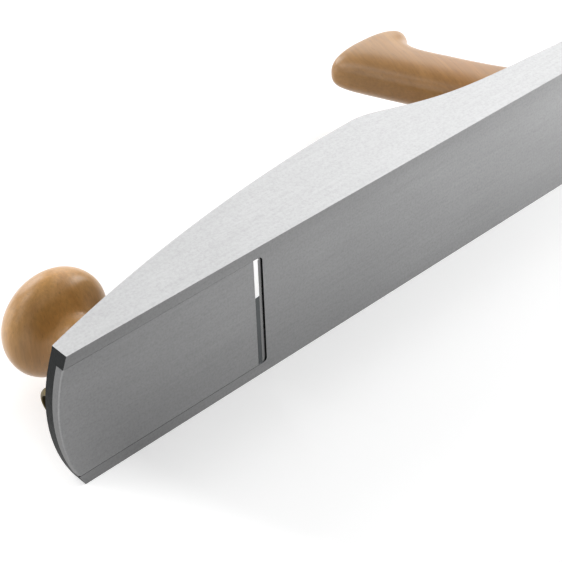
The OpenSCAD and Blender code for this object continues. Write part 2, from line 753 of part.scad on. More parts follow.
body();
toe_plate();
toe_post();
knob_washer();
knob();
knob_insert();
stop_screw();
stop_washer();
blade();
lever_cap();
lever_cap_rod();
cap_wheel();
cap_stud();
pressure_pad();
adjuster_post();
pivot_bush();
adjuster_spindle();
adjuster_knob();
adjuster_knob_screw();
carrier();
carrier_pin();
tote();
tote_rod();
tote_washer();
tote_nut();
tote_front_screw();
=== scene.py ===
"""Low angle jack plane, bevel up, lying on its right cheek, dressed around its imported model.

Everything is in metres in the row frame: +X from toe to heel, +Y from the sole to the handles, +Z from the
right cheek, which lies on the floor, to the left cheek.
"""
import json
import math

import bmesh
import bpy
import numpy as np
from mathutils import Matrix, Vector

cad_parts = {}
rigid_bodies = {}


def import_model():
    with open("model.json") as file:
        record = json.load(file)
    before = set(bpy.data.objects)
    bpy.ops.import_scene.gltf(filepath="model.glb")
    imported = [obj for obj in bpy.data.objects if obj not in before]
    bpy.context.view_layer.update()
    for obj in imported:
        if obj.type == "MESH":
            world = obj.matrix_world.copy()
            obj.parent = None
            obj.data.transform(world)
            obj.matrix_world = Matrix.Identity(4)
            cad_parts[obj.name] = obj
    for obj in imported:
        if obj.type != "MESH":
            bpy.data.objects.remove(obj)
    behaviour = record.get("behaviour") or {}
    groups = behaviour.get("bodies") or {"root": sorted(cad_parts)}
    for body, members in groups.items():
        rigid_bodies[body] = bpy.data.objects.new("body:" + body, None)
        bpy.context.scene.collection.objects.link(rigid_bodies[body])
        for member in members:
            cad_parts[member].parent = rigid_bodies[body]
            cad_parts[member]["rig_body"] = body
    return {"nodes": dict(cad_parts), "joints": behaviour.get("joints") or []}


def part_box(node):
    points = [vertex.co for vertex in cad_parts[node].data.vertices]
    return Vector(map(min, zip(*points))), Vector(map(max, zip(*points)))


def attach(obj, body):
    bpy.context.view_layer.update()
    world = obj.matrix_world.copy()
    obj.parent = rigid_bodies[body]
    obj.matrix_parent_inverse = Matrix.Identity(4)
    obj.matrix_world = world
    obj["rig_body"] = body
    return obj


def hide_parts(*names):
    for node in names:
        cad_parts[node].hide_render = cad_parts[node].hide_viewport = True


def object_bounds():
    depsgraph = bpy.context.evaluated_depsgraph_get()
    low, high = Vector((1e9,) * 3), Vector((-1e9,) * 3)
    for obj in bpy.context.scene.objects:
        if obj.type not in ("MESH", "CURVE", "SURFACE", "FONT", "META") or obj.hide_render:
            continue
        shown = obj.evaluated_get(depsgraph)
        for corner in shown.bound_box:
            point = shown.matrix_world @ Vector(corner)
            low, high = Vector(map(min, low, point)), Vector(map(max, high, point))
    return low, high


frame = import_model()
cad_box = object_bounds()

MM = 0.001
JOINTS = {joint["name"]: joint for joint in frame["joints"]}
LOW, HIGH = cad_box
TOEWARD = Vector((-1, 0, 0))
UPWARD = Vector((0, 1, 0))
ALONG_BED = Vector(JOINTS["blade_feed"]["axis"])
OFF_BED = Vector(JOINTS["blade_swing"]["axis"])
BED_TILT = math.atan2(ALONG_BED.y, ALONG_BED.x)


# Camera, fitted to the photograph

CAMERA_PLACE = Vector((-0.42058, -0.46100, 0.45776))
CAMERA_AZIMUTH = math.radians(-41.44)
CAMERA_ELEVATION = math.radians(37.92)
CAMERA_ROLL = math.radians(-2.186)
CAMERA_LENS = 98.57


def make_camera():
    data = bpy.data.cameras.new("camera")
    data.lens = CAMERA_LENS
    data.sensor_width = 36
    data.clip_start = 0.01
    camera = bpy.data.objects.new("camera", data)
    bpy.context.scene.collection.objects.link(camera)
    level = math.cos(CAMERA_ELEVATION)
    ahead = Vector((
        -math.sin(CAMERA_AZIMUTH) * level,
        math.cos(CAMERA_AZIMUTH) * level,
        -math.sin(CAMERA_ELEVATION)))
    right = ahead.cross(Vector((0, 0, 1))).normalized()
    up = right.cross(ahead)
    turned_right = right * math.cos(CAMERA_ROLL) + up * math.sin(CAMERA_ROLL)
    turned_up = turned_right.cross(ahead)
    basis = Matrix((turned_right, turned_up, -ahead)).transposed()
    camera.matrix_world = Matrix.Translation(CAMERA_PLACE) @ basis.to_4x4()
    bpy.context.scene.camera = camera


make_camera()


# Materials

class Shader:
    """A material with a Principled shader, and short calls for the nodes that feed it."""

    def __init__(self, name, **values):
        self.material = bpy.data.materials.new(name)
        self.material.use_nodes = True
        self.tree = self.material.node_tree
        self.surface = self.tree.nodes["Principled BSDF"]
        self.place = self.node("ShaderNodeTexCoord").outputs["Object"]
        for key, value in values.items():
            self.surface.inputs[key.replace("_", " ")].default_value = value

    def node(self, kind, **settings):
        made = self.tree.nodes.new(kind)
        for key, value in settings.items():
            setattr(made, key, value)
        return made

    def feed(self, value, socket):
        if isinstance(value, (int, float)):
            socket.default_value = value
        elif isinstance(value, tuple):
            socket.default_value = (*value, 1)
        else:
            self.tree.links.new(value, socket)

    def where(self, stretch=(1, 1, 1), turn=0.0):
        """Places on the object, turned about z and then stretched."""
        turned_place = self.node("ShaderNodeMapping", vector_type="POINT")
        turned_place.inputs["Rotation"].default_value = (0, 0, turn)
        self.feed(self.place, turned_place.inputs["Vector"])
        scaled = self.node("ShaderNodeMapping", vector_type="POINT")
        scaled.inputs["Scale"].default_value = stretch
        self.feed(turned_place.outputs["Vector"], scaled.inputs["Vector"])
        return scaled.outputs["Vector"]

    def noise(self, scale, detail=4.0, rough=0.5, stretch=(1, 1, 1), turn=0.0, distortion=0.0):
        made = self.node("ShaderNodeTexNoise")
        made.inputs["Scale"].default_value = scale
        made.inputs["Detail"].default_value = detail
        made.inputs["Roughness"].default_value = rough
        made.inputs["Distortion"].default_value = distortion
        self.feed(self.where(stretch, turn), made.inputs["Vector"])
        return made.outputs["Fac"]

    def span(self, axis, low, high):
        """0 at the low end of the object along an axis, 1 at the high end."""
        split = self.node("ShaderNodeSeparateXYZ")
        self.feed(self.place, split.inputs["Vector"])
        made = self.node("ShaderNodeMapRange")
        made.inputs["From Min"].default_value = low
        made.inputs["From Max"].default_value = high
        self.feed(split.outputs[axis], made.inputs["Value"])
        return made.outputs["Result"]

    def ramp(self, source, *stops):
        made = self.node("ShaderNodeValToRGB")
        points = made.color_ramp.elements
        while len(points) < len(stops):
            points.new(0.5)
        for point, (place, colour) in zip(points, stops):
            point.position = place
            point.color = (*colour, 1) if isinstance(colour, tuple) else (colour, colour, colour, 1)
        self.feed(source, made.inputs["Fac"])
        return made.outputs["Color"]

    def times(self, a, b):
        made = self.node("ShaderNodeMix", data_type="RGBA", blend_type="MULTIPLY")
        made.inputs[0].default_value = 1.0
        self.feed(a, made.inputs[6])
        self.feed(b, made.inputs[7])
        return made.outputs[2]

    def blend(self, factor, a, b):
        made = self.node("ShaderNodeMix", data_type="RGBA")
        self.feed(factor, made.inputs[0])
        self.feed(a, made.inputs[6])
        self.feed(b, made.inputs[7])
        return made.outputs[2]

    def colour(self, source):
        self.feed(source, self.surface.inputs["Base Color"])

    def roughness(self, source):
        self.feed(source, self.surface.inputs["Roughness"])

    def bump(self, source, distance, strength=1.0):
        """Adds relief on top of any relief that the material has already."""
        made = self.node("ShaderNodeBump")
        made.inputs["Distance"].default_value = distance
        made.inputs["Strength"].default_value = strength
        self.feed(source, made.inputs["Height"])
        normal = self.surface.inputs["Normal"]
        if normal.is_linked:
            self.feed(normal.links[0].from_socket, made.inputs["Normal"])
        self.feed(made.outputs["Normal"], normal)


def tinted(level, tint):
    return tuple(level * part for part in tint)


def ground_iron(name, level, tint=(1, 1, 1), lines_turn=0.0, depth=0.012 * MM, painted_shade_ramp=()):
    """Surface-ground grey iron: fine lines along the plane, a graphite speckle and slow tonal patches.
    The last argument gives how light it is at shares of the length from the toe: painted shade where it darkens the
    iron towards the toe, painted light where it lightens it towards the heel."""
    shader = Shader(name, Metallic=1.0)
    lines = shader.noise(700, 3, 0.6, (0.03, 1, 1), lines_turn)
    speckle = shader.noise(950, 3, 0.65)
    patches = shader.noise(22, 4, 0.6, (0.5, 1, 1), lines_turn)
    tone = shader.ramp(lines, (0.3, tinted(level * 0.96, tint)), (0.7, tinted(level * 1.03, tint)))
    tone = shader.times(tone, shader.ramp(speckle, (0.32, 0.90), (0.5, 1.0), (0.68, 1.06)))
    tone = shader.times(tone, shader.ramp(patches, (0.3, 0.95), (0.7, 1.04)))
    if painted_shade_ramp:
        # Painted shade and light along the length, from the ramp given, and painted shade near both cheeks across
        # the sole.
        tone = shader.times(tone, shader.ramp(shader.span("X", LOW.x, HIGH.x), *painted_shade_ramp))
        edges = ((0, 0.93), (0.12, 0.96), (0.75, 1.04), (0.9, 1.0), (0.95, 0.94))
        tone = shader.times(tone, shader.ramp(shader.span("Z", LOW.z, HIGH.z), *edges))
    shader.colour(tone)
    shader.roughness(shader.ramp(patches, (0.3, 0.40), (0.7, 0.48)))
    shader.bump(lines, depth)
    shader.bump(speckle, depth)
    return shader.material


def bare_steel(name, level, rough, stretch=(1, 1, 1), turn=0.0, tint=(1, 1, 1), scale=1300):
    """Steel with fine tool marks along one direction and slow patches of handling."""
    shader = Shader(name, Metallic=1.0)
    marks = shader.noise(scale, 3, 0.6, stretch, turn)
    patches = shader.noise(45, 4, 0.55)
    tone = shader.ramp(marks, (0.3, tinted(level * 0.90, tint)), (0.7, tinted(level * 1.07, tint)))
    shader.colour(shader.times(tone, shader.ramp(patches, (0.3, 0.90), (0.7, 1.05))))
    shader.roughness(shader.ramp(patches, (0.3, rough + 0.07), (0.7, rough - 0.04)))
    shader.bump(marks, 0.015 * MM)
    return shader.material


def black_oxide(name):
    shader = Shader(name, Metallic=1.0)
    patches = shader.noise(60, 4, 0.6)
    shader.colour(shader.ramp(patches, (0.3, (0.075, 0.075, 0.08)), (0.75, (0.16, 0.16, 0.165))))
    shader.roughness(shader.ramp(patches, (0.3, 0.34), (0.7, 0.48)))
    shader.bump(shader.noise(1500, 2), 0.02 * MM)
    return shader.material


def baked_paint(name, level=1.0, gloss=0.3):
    """Charcoal paint with the fine pebble of a baked coat, a little lighter where it is handled."""
    shader = Shader(name, Specular_IOR_Level=gloss)
    pebble = shader.noise(1100, 3, 0.6)
    patches = shader.noise(28, 3)
    shader.colour(shader.ramp(patches, (0.3, tinted(level, (0.011, 0.0125, 0.013))), (0.7, tinted(level, (0.018, 0.02, 0.021)))))
    shader.roughness(shader.ramp(pebble, (0.3, 0.48), (0.7, 0.62)))
    shader.bump(pebble, 0.10 * MM)
    return shader.material


def turned_brass(name, rough, dull, level=1.0):
    """Brass turned on a lathe and left to dull: dull gives how far the slow patches darken it."""
    shader = Shader(name, Metallic=1.0)
    patches = shader.noise(75, 5, 0.6)
    marks = shader.noise(1500, 2, 0.6)
    tone = shader.ramp(
        patches, (0.28, tinted(dull * level, (0.56, 0.42, 0.17))),
        (0.52, tinted(level, (0.66, 0.50, 0.22))), (0.8, tinted(level, (0.78, 0.61, 0.31))))
    shader.colour(shader.times(tone, shader.ramp(marks, (0.3, 0.92), (0.7, 1.05))))
    shader.roughness(shader.ramp(patches, (0.3, rough + 0.14), (0.7, rough)))
    shader.bump(marks, 0.012 * MM)
    return shader.material


def browned_maple(name, level, along, turn=0.0, painted_shade_ramp=()):
    """Oven-browned maple with its fibres along one axis: soft growth rings, fine pores, a satin lacquer.
    The last argument gives its tint at shares of the height over the sole: darker and browner towards the foot, as
    painted shade."""
    def stretch(share):
        return tuple(share if axis == along else 1 for axis in "xyz")
    shader = Shader(name, Specular_IOR_Level=0.1, Coat_Weight=1.0, Coat_Roughness=0.30, Coat_IOR=1.45)
    rings = shader.noise(52, 4, 0.5, stretch(0.11), turn, 0.8)
    fibres = shader.noise(800, 4, 0.65, stretch(0.025), turn)
    pores = shader.noise(820, 2, 0.5, stretch(0.10), turn)
    clouds = shader.noise(20, 3, 0.5, stretch(0.6), turn)
    tone = shader.ramp(
        rings, (0.30, tinted(level, (0.400, 0.192, 0.048))), (0.44, tinted(level, (0.490, 0.252, 0.074))),
        (0.54, tinted(level, (0.440, 0.222, 0.060))), (0.70, tinted(level, (0.520, 0.276, 0.086))))
    tone = shader.times(tone, shader.ramp(clouds, (0.3, 0.90), (0.7, 1.08)))
    tone = shader.times(tone, shader.ramp(fibres, (0.3, 0.86), (0.7, 1.09)))
    tone = shader.times(tone, shader.ramp(pores, (0.27, 0.82), (0.35, 1.0)))
    if painted_shade_ramp:
        # Painted shade: darker towards the foot, from the ramp given.
        tone = shader.times(tone, shader.ramp(shader.span("Y", LOW.y, HIGH.y), *painted_shade_ramp))
    shader.colour(tone)
    shader.roughness(shader.ramp(fibres, (0.3, 0.42), (0.7, 0.52)))
    shader.bump(fibres, 0.03 * MM)
    shader.bump(pores, 0.02 * MM)
    return shader.material


FINISH = {
    "cheek": ground_iron("ground_cheeks", 0.392, (1, 1.003, 1.01)),
    # The sole and the toe plate are darker copies of the cheeks' iron, and their ramps darken them towards the toe:
    # painted shade, with painted light at the sole's heel end.
    "sole": ground_iron("ground_sole", 0.323, (1, 1.003, 1.01), 0.03, 0.006 * MM,
                         ((0, 0.57), (0.26, 0.835), (1, 1.2))),
    "toe": ground_iron("ground_toe", 0.282, (1, 1.003, 1.01), -0.03, 0.006 * MM,
                        ((0, 0.75), (0.26, 1.0))),
    # The toe plate's curved front is darker, as painted shade, and its chamfer lighter than the front, as a painted
    # highlight line.
    "toe_front": ground_iron("shaded_toe_front", 0.131, (1, 1.003, 1.01), 0.0, 0.02 * MM),
    "toe_edge": ground_iron("bright_toe_edge", 0.215, (1, 1.003, 1.01)),
    "paint": baked_paint("charcoal_paint", 0.62, 0.12),
    # The inner paint is a much lighter copy of the charcoal paint: painted light. The mouth's walls get a darker
    # copy: painted shade.
    "inner": baked_paint("painted_light_inner_paint", 4.7),
    "mouth": baked_paint("shaded_mouth_walls", 0.3, 0.05),
    "blade": bare_steel("lapped_blade", 0.34, 0.26, (1, 1, 0.03)),
    # The blade's underside is a darker copy of the blade's steel: painted shade.
    "underside": bare_steel("painted_shade_blade_underside", 0.23, 0.26, (1, 1, 0.03)),
    "honed": bare_steel("honed_bevel", 0.62, 0.16, (1, 1, 0.02), 0.0, (1, 1.0, 1.01)),
    "cap": bare_steel("blasted_cap", 0.50, 0.38, (1, 1, 1), 0.0, (1, 0.995, 0.98), 1900),
    "steel": bare_steel("turned_steel", 0.56, 0.24),
    "dark": black_oxide("black_oxide"),
    "brass": turned_brass("turned_brass", 0.24, 0.62),
    "washer": turned_brass("plain_brass", 0.32, 0.75),
    # The stop screw's brass is tarnished and darkened further as painted shade; its dished face is near-black
    # brass, as painted shade.
    "tarnish_and_shade": turned_brass("tarnished_and_shaded_brass", 0.36, 0.35, 0.17),
    "recess": turned_brass("painted_shade_dish_brass", 0.5, 0.5, 0.05),
    # The knob is a lighter and the tote a darker copy of one maple: painted light on the knob, painted shade on the
    # tote.
    "knob": browned_maple("knob_maple", 1.22, "z"),
    # The tote's ramp darkens its foot as painted shade.
    "tote": browned_maple("tote_maple", 0.93, "y", 0.34, ((0.2, (0.79, 0.71, 0.56)),
                          (0.5, (0.79, 0.72, 0.58)), (0.75, (0.88, 0.84, 0.76)), (1, (1.0, 1.0, 1.0)))),
}


# Making and placing meshes

def smooth_by_angle(mesh, degrees):
    mesh.polygons.foreach_set("use_smooth", [True] * len(mesh.polygons))
    mesh.set_sharp_from_angle(angle=math.radians(degrees))


def level_faces(piece):
    """Keeps the shading of large faces flat beside their small bevels."""
    change = piece.modifiers.new("level_faces", "WEIGHTED_NORMAL")
    change.keep_sharp = True
    change.weight = 60


def stand_for(mesh, node, name, finishes):
    """Makes mesh a piece that replaces a node, moves with it and has the given finishes."""
    piece = bpy.data.objects.new(name, mesh)
    bpy.context.scene.collection.objects.link(piece)
    for finish in finishes:
        mesh.materials.append(FINISH[finish])
    level_faces(piece)
    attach(piece, frame["nodes"][node]["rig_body"])
    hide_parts(node)
    return piece


def bevel_edges(form, edges, ease, steps):
    bmesh.ops.bevel(
        form, geom=edges, offset=ease, segments=steps, profile=0.6, affect="EDGES", clamp_overlap=True)


def sharp_edges(form, degrees=28):
    limit = math.radians(degrees)
    return [edge for edge in form.edges if len(edge.link_faces) == 2 and edge.calc_face_angle(0) > limit]


def solid_of(node):
    """A node's own solid as an editable form, with the triangles of each flat face joined."""
    form = bmesh.new()
    form.from_mesh(frame["nodes"][node].data)
    bmesh.ops.remove_doubles(form, verts=form.verts, dist=0.002 * MM)
    bmesh.ops.dissolve_limit(form, angle_limit=math.radians(0.3), verts=form.verts, edges=form.edges)
    return form


def mesh_from(form, name, smooth=35):
    form.normal_update()
    mesh = bpy.data.meshes.new(name)
    form.to_mesh(mesh)
    form.free()
    smooth_by_angle(mesh, smooth)
    return mesh


def eased_copy(node, name, ease, finishes, steps=2, pick=None):
    """A copy of a node's solid with its edges eased. pick(centre, normal) gives a face's finish."""
    form = solid_of(node)
    bevel_edges(form, sharp_edges(form), ease, steps)
    form.normal_update()
    if pick:
        for face in form.faces:
            face.material_index = pick(face.calc_center_median(), face.normal)
    return stand_for(mesh_from(form, name), node, name, finishes)


class Spindle:
    """The axis of a turned node: its lower end, length and greatest radius."""

    def __init__(self, node, direction):
        self.along = Vector(direction).normalized()
        across = self.along.cross(Vector((0, 0, 1)))
        if across.length < 0.1:
            across = self.along.cross(Vector((1, 0, 0)))
        self.across = across.normalized()
        self.square = self.along.cross(self.across)
        points = np.array([vertex.co for vertex in frame["nodes"][node].data.vertices])
        spans = [points @ np.array(v) for v in (self.across, self.square, self.along)]
        middles = [float(span.min() + span.max()) / 2 for span in spans[:2]]
        self.foot = float(spans[2].min())
        self.length = float(spans[2].max()) - self.foot
        self.radius = float(spans[0].max() - spans[0].min()) / 2
        self.centre = self.across * middles[0] + self.square * middles[1]

    def matrix(self):
        turn = Matrix((self.across, self.square, self.along)).transposed()
        return Matrix.Translation(self.centre + self.along * self.foot) @ turn.to_4x4()


def bezier(a, b, c, d, count):
    """Points from a up to, but not including, d."""
    points = []
    for step in range(count):
        t = step / count
        s = 1 - t
        points.append(tuple(
            s ** 3 * p + 3 * s * s * t * q + 3 * s * t * t * r + t ** 3 * u
            for p, q, r, u in zip(a, b, c, d)))
    return points


def skin(rings, loop=False):
    """A closed form through rings of points. A loop joins its last ring to its first."""
    form = bmesh.new()
    loops = [[form.verts.new(point) for point in ring] for ring in rings]
    count = len(loops[0])
    pairs = list(zip(loops, loops[1:]))
    if loop:
        pairs.append((loops[-1], loops[0]))
    for near, far in pairs:
        for k in range(count):
            after = (k + 1) % count
            form.faces.new((near[k], near[after], far[after], far[k]))
    if not loop:
        form.faces.new(list(reversed(loops[0])))
        form.faces.new(loops[-1])
    return form


def lathe(profile, segments=96, wave=None, loop=False):
    """A turned form from (radius, height) pairs in mm. wave(angle, radius, height) alters the radius."""
    rings = []
    for radius, height in profile:
        ring = []
        for k in range(segments):
            angle = 2 * math.pi * k / segments
            reach = wave(angle, radius, height) if wave else radius
            ring.append((reach * math.cos(angle) * MM, reach * math.sin(angle) * MM, height * MM))
        rings.append(ring)
    return skin(rings, loop)


def turned_piece(form, node, name, finish, spindle, smooth=32, inner=None, pick=None):
    """pick(face) says whether a face has the inner finish. Both see the form before it is placed."""
    bmesh.ops.recalc_face_normals(form, faces=form.faces)
    if pick:
        for face in form.faces:
            face.material_index = int(pick(face))
    form.transform(spindle.matrix())
    return stand_for(mesh_from(form, name, smooth), node, name, [finish, inner] if inner else [finish])


def rod_form(radius, low_end, high_end, segments=96, turn=None):
    """A cylinder along z in mm, as a cutter."""
    form = lathe([(radius, low_end), (radius, high_end)], segments)
    if turn:
        form.transform(turn)
    return form


def box_form(x, y, z):
    """A box in mm between pairs of limits, as a cutter."""
    form = bmesh.new()
    bmesh.ops.create_cube(form, size=1)
    middle = Vector([sum(span) / 2 * MM for span in (x, y, z)])
    size = [(span[1] - span[0]) * MM for span in (x, y, z)]
    form.transform(Matrix.Translation(middle) @ Matrix.Diagonal((*size, 1)))
    return form


def cut(form, cutters):
    """The form less the cutters, as a new form."""
    scene_objects = bpy.context.scene.collection.objects
    shapes = []
    for part in [form] + cutters:
        bmesh.ops.recalc_face_normals(part, faces=part.faces)
        mesh = bpy.data.meshes.new("shape")
        part.to_mesh(mesh)
        part.free()
        shape = bpy.data.objects.new("shape", mesh)
        scene_objects.link(shape)
        shapes.append(shape)
    for cutter in shapes[1:]:
        change = shapes[0].modifiers.new("cut", "BOOLEAN")
        change.operation = "DIFFERENCE"
        change.solver = "EXACT"
        change.object = cutter
    depsgraph = bpy.context.evaluated_depsgraph_get()
    result = bmesh.new()
    result.from_object(shapes[0], depsgraph)
    for shape in shapes:
        mesh = shape.data
        bpy.data.objects.remove(shape)
        bpy.data.meshes.remove(mesh)
    return result


# Body casting and toe plate

SKIN = 0.4 * MM
CHEEK = 4.6 * MM
BLADE_LOW, BLADE_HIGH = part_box("blade")
MOUTH_END = BLADE_LOW.x + 4 * MM


def body_finish(centre, normal):
    """0 for the ground cheeks, 1 for the sole and the bed, 2 for the painted rest, 3 for the mouth's walls,
    whose paint is darker as painted shade, and 4 for the cheeks' inner sides, whose paint is lighter as painted
    light."""
    if abs(normal.z) > 0.9 and (centre.z < LOW.z + SKIN or centre.z > HIGH.z - SKIN):
        return 0
    if normal.y < -0.9 and centre.y < LOW.y + SKIN:
        return 1
    between = LOW.z + CHEEK < centre.z < HIGH.z - CHEEK
    if normal.dot(OFF_BED) > 0.995 and between and centre.x > BLADE_LOW.x:
        return 1
    if abs(normal.y) < 0.1 and between and centre.y < LOW.y + 0.8 * MM and BLADE_LOW.x < centre.x < MOUTH_END:
        return 3
    # Painted light: the cheeks' inner sides get the lighter paint.
    if abs(normal.z) > 0.9 and min(centre.z - LOW.z, HIGH.z - centre.z) < 2 * CHEEK:
        return 4
    return 2


def make_body():
    """The casting, with crisp edges round the toe plate's recess and its other edges eased."""
    form = solid_of("body")
    middle = (LOW.z + HIGH.z) / 2
    inside = middle - 3 * MM
    seam = [
        edge for edge in sharp_edges(form)
        if all(corner.co.y < LOW.y + 0.1 * MM and abs(corner.co.z - middle) < inside for corner in edge.verts)]
    bevel_edges(form, seam, 0.05 * MM, 1)
    bevel_edges(form, sharp_edges(form, 50), 0.25 * MM, 2)
    form.normal_update()
    for face in form.faces:
        face.material_index = body_finish(face.calc_center_median(), face.normal)
    stand_for(mesh_from(form, "body_casting"), "body", "body_casting", ["cheek", "sole", "paint", "mouth", "inner"])


def make_toe_plate():
    """The toe plate, with a wide chamfer under its curved front and its other edges just broken.
    Its curved front is a darker copy of the sole's iron, as painted shade, and the chamfer under it is lighter than
    the front, as a painted highlight line."""
    form = solid_of("toe_plate")
    sole = LOW.y + 0.1 * MM
    front_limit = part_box("toe_plate")[1].x - 20 * MM
    front = [
        edge for edge in sharp_edges(form)
        if all(corner.co.y < sole and corner.co.x < front_limit for corner in edge.verts)
        and abs(edge.verts[0].co.z - edge.verts[1].co.z) > abs(edge.verts[0].co.x - edge.verts[1].co.x)]
    bevel_edges(form, front, 0.75 * MM, 1)
    bevel_edges(form, sharp_edges(form, 50), 0.05 * MM, 1)
    form.normal_update()
    for face in form.faces:
        # The curved front gets painted shade, the chamfer a painted highlight.
        facing_toe = face.normal.x < -0.4
        face.material_index = 1 if facing_toe and abs(face.normal.y) < 0.1 else 2 if facing_toe else 0
    stand_for(mesh_from(form, "sliding_toe"), "toe_plate", "sliding_toe", ["toe", "toe_front", "toe_edge"])


# Front knob and stop screw

def make_knob():
    spindle = Spindle("knob", UPWARD)
    head_r = spindle.radius / MM
    top = spindle.length / MM
    foot_r, neck_r, tip_r = 16, 10.7, 0.05
    head = 0.68 * top
    profile = [(foot_r - 1.3, 0), (foot_r - 0.6, 0.25), (foot_r - 0.15, 0.8)]
    profile += bezier((foot_r, 1.5), (foot_r + 0.05, 2.4), (foot_r - 0.1, 3.4), (foot_r - 0.6, 4.5), 8)
    profile += bezier((foot_r - 0.6, 4.5), (neck_r, 7.5), (neck_r - 0.8, 11.5), (neck_r + 0.4, 16.5), 28)
    profile += bezier(
        (neck_r + 0.4, 16.5), (neck_r + 2, 22.5), (head_r - 0.3, head - 8.5), (head_r, head), 34)
    profile += bezier((head_r, head), (head_r + 0.2, head + 9.3), (0.66 * head_r, top), (tip_r, top), 48)
    profile.append((tip_r, top))
    turned_piece(lathe(profile, 160), "knob", "front_knob", "knob", spindle, 60)


def thread_wave(crest, pitch, depth, low_end, high_end):
    """A wave that gives a lathe form a thread with flat crests between two heights."""
    def wave(angle, radius, height):
        if radius < crest - 1e-6 or not low_end < height < high_end:
            return radius
        turn = (height / pitch - angle / (2 * math.pi)) % 1
        flank = abs(2 * turn - 1)
        return radius - depth * min(1, max(0, 1.35 * flank - 0.2))
    return wave


def even_heights(radius, low_end, high_end, step):
    count = max(1, round((high_end - low_end) / step))
    return [(radius, low_end + (high_end - low_end) * k / count) for k in range(count + 1)]


def make_stop_screw():
    """The brass screw at the toe: a thick head with a round rim, a dished face and a coin slot."""
    spindle = Spindle("stop_screw", TOEWARD)
    head_r = spindle.radius / MM
    length = spindle.length / MM
    head_t, shank_r, dish, rim = 5.3, 3.0, 1.9, 2.3
    seat = length - head_t
    shank = [(shank_r - 0.6, 0), (shank_r, 0.6)] + even_heights(shank_r, 0.8, seat - 1.2, 0.125)
    shank += [(shank_r - 0.5, seat - 1.1), (shank_r - 0.5, seat)]
    head = [(head_r - 0.3, seat), (head_r, seat + 0.3)]
    head += bezier(
        (head_r, length - rim), (head_r, length - 0.4 * rim),
        (head_r - 0.5 * rim, length), (head_r - rim, length), 8)
    head += bezier(
        (head_r - rim, length), (head_r - rim - 0.5, length - 0.1),
        (head_r - rim - 0.7, length - dish), (head_r - rim - 1.6, length - dish), 6)
    head += [(head_r - rim - 1.6, length - dish), (0.05, length - dish - 0.15)]
    form = lathe(shank + head, 72, thread_wave(shank_r, 1.0, 0.35, 1.0, seat - 1.4))
    slot = box_form((-0.6, 0.6), (-2 * head_r, 2 * head_r), (length - dish - 1.2, length + 1))
    well = (head_r - rim - 0.3) * MM

    def in_well(face):
        centre = face.calc_center_median()
        return centre.xy.length < well and centre.z > (seat + 0.5) * MM

    # The dished face gets the near-black brass as painted shade.
    turned_piece(
        cut(form, [slot]), "stop_screw", "toe_stop_screw", "tarnish_and_shade", spindle, inner="recess", pick=in_well)


# Cap wheel and its stud

def knurl_wave(crest, teeth, depth, low_end, high_end):
    """A wave that gives a lathe form straight teeth on its rim, fading at both ends."""
    def wave(angle, radius, height):
        if radius < crest - 0.05 or not low_end <= height <= high_end:
            return radius
        groove = 0.5 + 0.5 * math.cos(teeth * angle)
        return radius - depth * groove ** 2
    return wave


def rim_profile(inner, outer, low_end, high_end, ease, step=0.8):
    """The outer wall of a knurled rim, with a round at each corner."""
    middle = even_heights(outer, low_end + ease, high_end - ease, step)
    low_round = [(outer - ease, low_end), (outer - 0.3 * ease, low_end + 0.3 * ease)]
    high_round = [(outer - 0.3 * ease, high_end - 0.3 * ease), (outer - ease, high_end)]
    return [(inner, low_end)] + low_round + middle + high_round


def make_cap_wheel():
    spindle = Spindle("cap_wheel", OFF_BED)
    outer = spindle.radius / MM
    top = spindle.length / MM
    bore = Spindle("cap_stud", OFF_BED).radius / MM
    hub, well, teeth, ease = 1.6, 1.2, 64, 0.8
    profile = [(bore, 0), (outer - 5.3, 0), (outer - 5, 0.3), (outer - 5, hub)]
    profile += rim_profile(outer - 4.6, outer, hub, top, ease)
    profile += [(outer - 3.4, top), (outer - 3.8, top - 0.1), (outer - 5.4, top - well + 0.1)]
    profile += [(outer - 5.8, top - well), (bore + 0.4, top - well), (bore, top - well - 0.3)]
    wave = knurl_wave(outer, teeth, 0.32, hub + 0.9 * ease, top - 0.9 * ease)
    form = lathe(profile, teeth * 6, wave, loop=True)
    turned_piece(form, "cap_wheel", "cap_wheel_knurled", "brass", spindle)


def make_cap_stud():
    spindle = Spindle("cap_stud", OFF_BED)
    crest = spindle.radius / MM
    top = spindle.length / MM
    neck_r, neck_l = crest - 1.5, 2.6
    profile = [(neck_r - 0.3, 0), (neck_r, 0.3), (neck_r, neck_l), (crest - 0.5, neck_l)]
    profile += even_heights(crest, neck_l + 0.4, top - 0.5, 0.125) + [(crest - 0.5, top), (0.6, top)]
    profile += [(0.05, top - 0.4)]
    wave = thread_wave(crest, 1.0, 0.4, neck_l + 0.5, top - 0.6)
    turned_piece(lathe(profile, 60, wave), "cap_stud", "cap_stud_threaded", "dark", spindle)


# Adjuster

def make_adjuster_knob():
    spindle = Spindle("adjuster_knob", ALONG_BED)
    outer = spindle.radius / MM
    top = spindle.length / MM
    thick, hub_r, teeth, ease = 13, 5.0, 48, 0.8
    start = top - thick
    profile = [(3.0, 0), (hub_r - 0.3, 0), (hub_r, 0.3), (hub_r, start)]
    profile += rim_profile(hub_r + 1.0, outer, start, top, ease)
    profile += [(outer - 2.2, top), (outer - 2.6, top - 0.25), (2.1, top - 0.25), (2.1, top - 2.9), (3.0, top - 3)]
    wave = knurl_wave(outer, teeth, 0.3, start + 0.9 * ease, top - 0.9 * ease)
    form = lathe(profile, teeth * 6, wave, loop=True)
    turned_piece(form, "adjuster_knob", "depth_knob_knurled", "brass", spindle)


